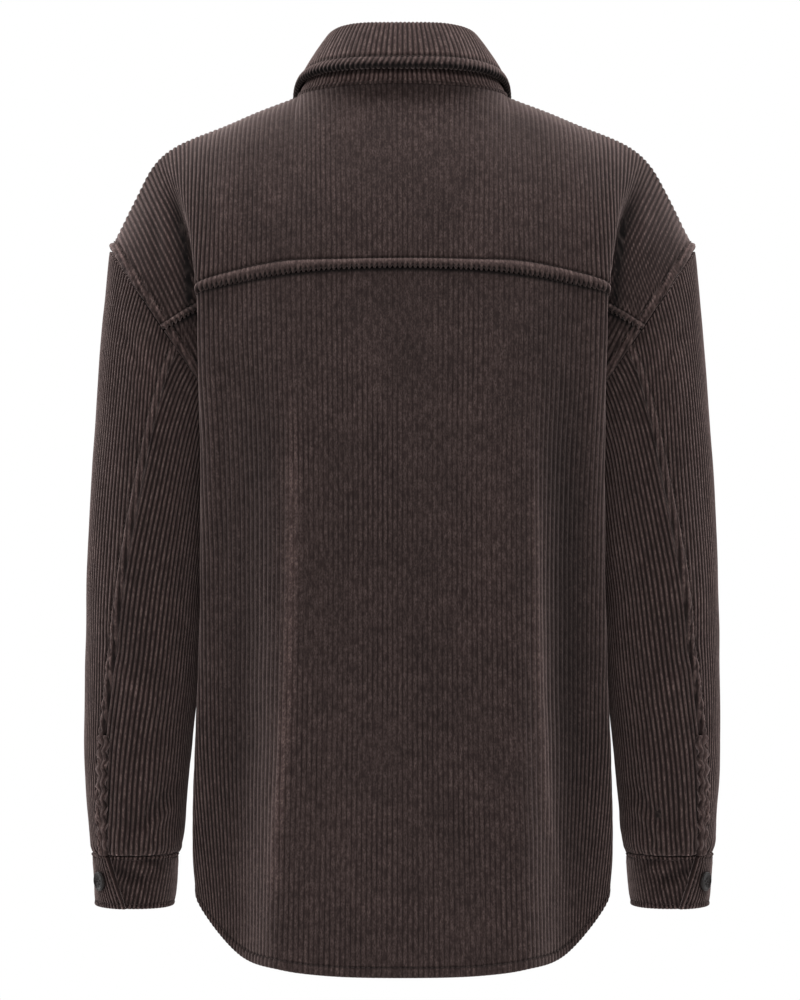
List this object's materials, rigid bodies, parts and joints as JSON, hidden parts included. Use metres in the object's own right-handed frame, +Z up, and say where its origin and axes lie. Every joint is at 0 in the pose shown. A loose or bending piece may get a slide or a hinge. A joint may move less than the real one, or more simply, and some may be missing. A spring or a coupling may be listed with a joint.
{
  "type": "shacket",
  "caption": "Hip-length wide-wale corduroy shirt-jacket with drop shoulders, back yoke, turned-down collar, buttoned front and cuffs and a curved hem, in its hollow worn form.",
  "frame": {"origin": "middle of the neck opening, level with the points where the neck seam meets the shoulders", "axes": "+Z up to the neck, +X to the wearer's left, -Y to the front, so the back faces +Y"},
  "size_m": [0.5136, 0.2584, 0.7551],
  "materials": {
    "corduroy": "wide-wale cotton corduroy, dark taupe brown, matt with a soft pile sheen",
    "button": "satin dark brown resin"
  },
  "bodies": {
    "root": {"back": "corduroy", "yoke": "corduroy", "front_left": "corduroy", "front_right": "corduroy", "placket_right": "corduroy", "collar_stand": "corduroy", "collar_fall": "corduroy", "sleeve_main_left": "corduroy", "sleeve_main_right": "corduroy", "sleeve_back_left": "corduroy", "sleeve_back_right": "corduroy", "vent_binding_left": "corduroy", "vent_binding_right": "corduroy", "cuff_left": "corduroy", "cuff_right": "corduroy", "button_collar": "button", "button_front_1": "button", "button_front_2": "button", "button_front_3": "button", "button_front_4": "button", "button_front_5": "button", "button_front_6": "button", "button_cuff_left": "button", "button_cuff_right": "button"}
  },
  "joints": []
}
